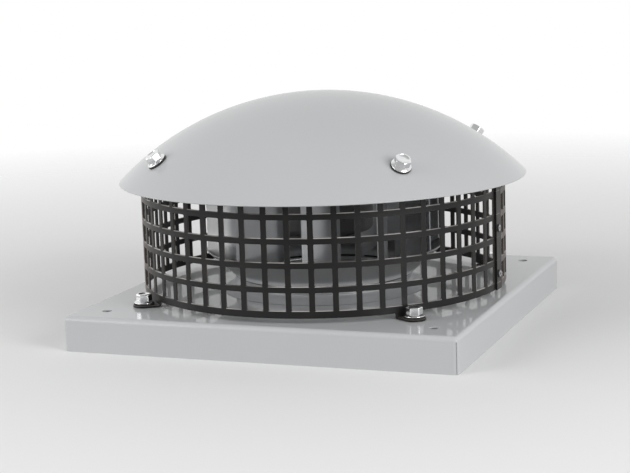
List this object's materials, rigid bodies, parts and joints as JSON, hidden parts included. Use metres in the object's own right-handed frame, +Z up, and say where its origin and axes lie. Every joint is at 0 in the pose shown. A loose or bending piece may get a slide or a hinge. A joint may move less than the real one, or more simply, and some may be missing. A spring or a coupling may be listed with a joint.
{
  "type": "roof exhaust fan",
  "caption": "Square-based roof extract fan with a perforated ring guard, a domed weather cap and a backward-curved impeller turning inside.",
  "frame": {"origin": "centre of the square that the base tray's bottom rim stands on, under the fan's axis", "axes": "+Z up along the fan's axis, +X and +Y along the sides of the square base; the guard's seam faces +X"},
  "size_m": [0.376, 0.376, 0.213],
  "materials": {
    "light_grey_paint": "light grey powder coat",
    "black_paint": "black powder coat, satin",
    "zinc_sheet": "zinc-plated",
    "galvanised_sheet": "galvanised",
    "plated_steel": "bright zinc plate",
    "cast_aluminium": "as cast",
    "enamelled_copper": "varnished copper windings",
    "black_rubber": "matte",
    "black_plastic": "moulded",
    "motor_paint": "black, satin"
  },
  "bodies": {
    "housing": {"base_tray": "light_grey_paint", "bearing_lower": "plated_steel", "bearing_upper": "plated_steel", "cable_gland": "black_plastic", "dome_bolt_1": "plated_steel", "dome_bolt_2": "plated_steel", "dome_bolt_3": "plated_steel", "dome_bolt_4": "plated_steel", "dome_cap": "light_grey_paint", "dome_nut_1": "plated_steel", "dome_nut_2": "plated_steel", "dome_nut_3": "plated_steel", "dome_nut_4": "plated_steel", "dome_seal_1": "black_rubber", "dome_seal_2": "black_rubber", "dome_seal_3": "black_rubber", "dome_seal_4": "black_rubber", "guard_bolt_1": "plated_steel", "guard_bolt_2": "plated_steel", "guard_bolt_3": "plated_steel", "guard_bolt_4": "plated_steel", "guard_cage": "black_paint", "guard_nut_1": "plated_steel", "guard_nut_2": "plated_steel", "guard_nut_3": "plated_steel", "guard_nut_4": "plated_steel", "guard_washer_1": "black_rubber", "guard_washer_2": "black_rubber", "guard_washer_3": "black_rubber", "guard_washer_4": "black_rubber", "inlet_nozzle": "zinc_sheet", "motor_plate": "zinc_sheet", "motor_screw_1": "plated_steel", "motor_screw_2": "plated_steel", "motor_screw_3": "plated_steel", "motor_screw_4": "plated_steel", "seam_rivet_1": "zinc_sheet", "seam_rivet_2": "zinc_sheet", "stator_core": "plated_steel", "stator_flange": "cast_aluminium", "terminal_box": "black_plastic", "terminal_lid": "black_plastic", "winding_lower": "enamelled_copper", "winding_upper": "enamelled_copper"},
    "rotor": {"impeller_backplate": "galvanised_sheet", "impeller_blade_01": "galvanised_sheet", "impeller_blade_02": "galvanised_sheet", "impeller_blade_03": "galvanised_sheet", "impeller_blade_04": "galvanised_sheet", "impeller_blade_05": "galvanised_sheet", "impeller_blade_06": "galvanised_sheet", "impeller_blade_07": "galvanised_sheet", "impeller_blade_08": "galvanised_sheet", "impeller_blade_09": "galvanised_sheet", "impeller_blade_10": "galvanised_sheet", "impeller_shroud": "galvanised_sheet", "rotor_can": "motor_paint", "rotor_core": "plated_steel", "shaft": "plated_steel"}
  },
  "joints": [
    {"name": "fan_spin", "type": "hinge", "parent": "housing", "child": "rotor", "pos_m": [0, 0, 0.1], "axis": [0, 0, 1], "continuous": true}
  ]
}
